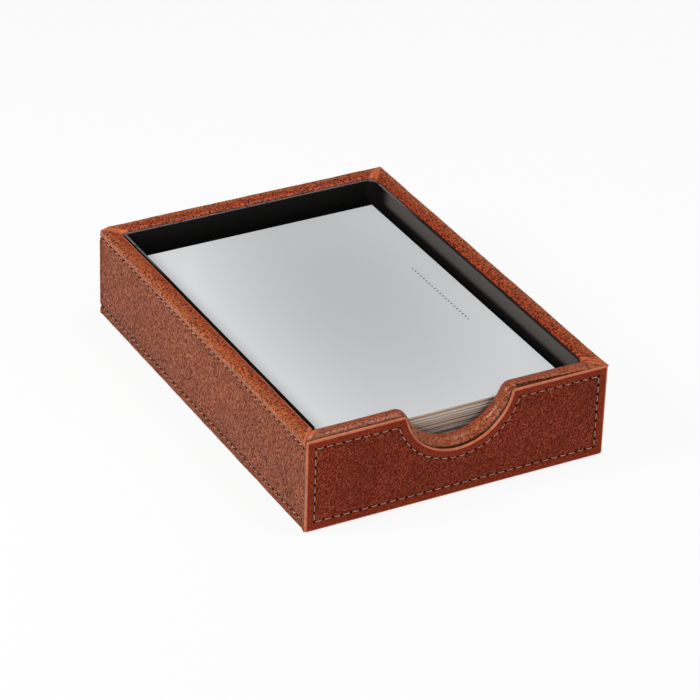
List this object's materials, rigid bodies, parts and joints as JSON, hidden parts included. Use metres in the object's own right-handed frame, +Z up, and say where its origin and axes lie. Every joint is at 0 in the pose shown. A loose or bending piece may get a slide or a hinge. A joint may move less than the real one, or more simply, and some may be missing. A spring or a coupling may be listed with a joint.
{
  "type": "memo tray",
  "caption": "Shallow open tray of stitched brown leather over boards, lined in black, with a rounded thumb notch in its front wall and a stack of loose blank note cards",
  "frame": {"origin": "the middle of the underside, on the surface that the tray stands on", "axes": "+X runs along the front wall to the right as seen from the front, +Y from the notched front wall to the back, +Z up"},
  "size_m": [0.1276, 0.1786, 0.0403],
  "materials": {
    "leather": "pebbled grain, semi-matte, with a warmer and glossier rim",
    "stitching": "waxed beige thread",
    "wall_board": "raw fibre board, hidden",
    "black_lining": "matte black suede cloth",
    "base_felt": "black felt",
    "card_stock": "smooth white card, blank"
  },
  "bodies": {
    "tray": {"front_leather": "leather", "back_leather": "leather", "left_leather": "leather", "right_leather": "leather", "front_panel": "leather", "front_panel_thread": "stitching", "back_top_thread": "stitching", "back_bottom_thread": "stitching", "left_top_thread": "stitching", "left_bottom_thread": "stitching", "right_top_thread": "stitching", "right_bottom_thread": "stitching", "front_board": "wall_board", "back_board": "wall_board", "left_board": "wall_board", "right_board": "wall_board", "base_board": "wall_board", "front_lining": "black_lining", "back_lining": "black_lining", "left_lining": "black_lining", "right_lining": "black_lining", "floor_lining": "black_lining", "base_felt": "base_felt"},
    "card_stack": {"note_cards_lower": "card_stock", "note_card_proud": "card_stock", "note_cards_upper": "card_stock"},
    "top_card": {"note_card_top": "card_stock"}
  },
  "joints": [
    {"name": "card_stack_lift", "type": "slide", "parent": "tray", "child": "card_stack", "axis": [0, 0, 1], "range_m": [0, 0.04]},
    {"name": "top_card_lift", "type": "slide", "parent": "card_stack", "child": "top_card", "axis": [0, 0, 1], "range_m": [0, 0.04]}
  ]
}
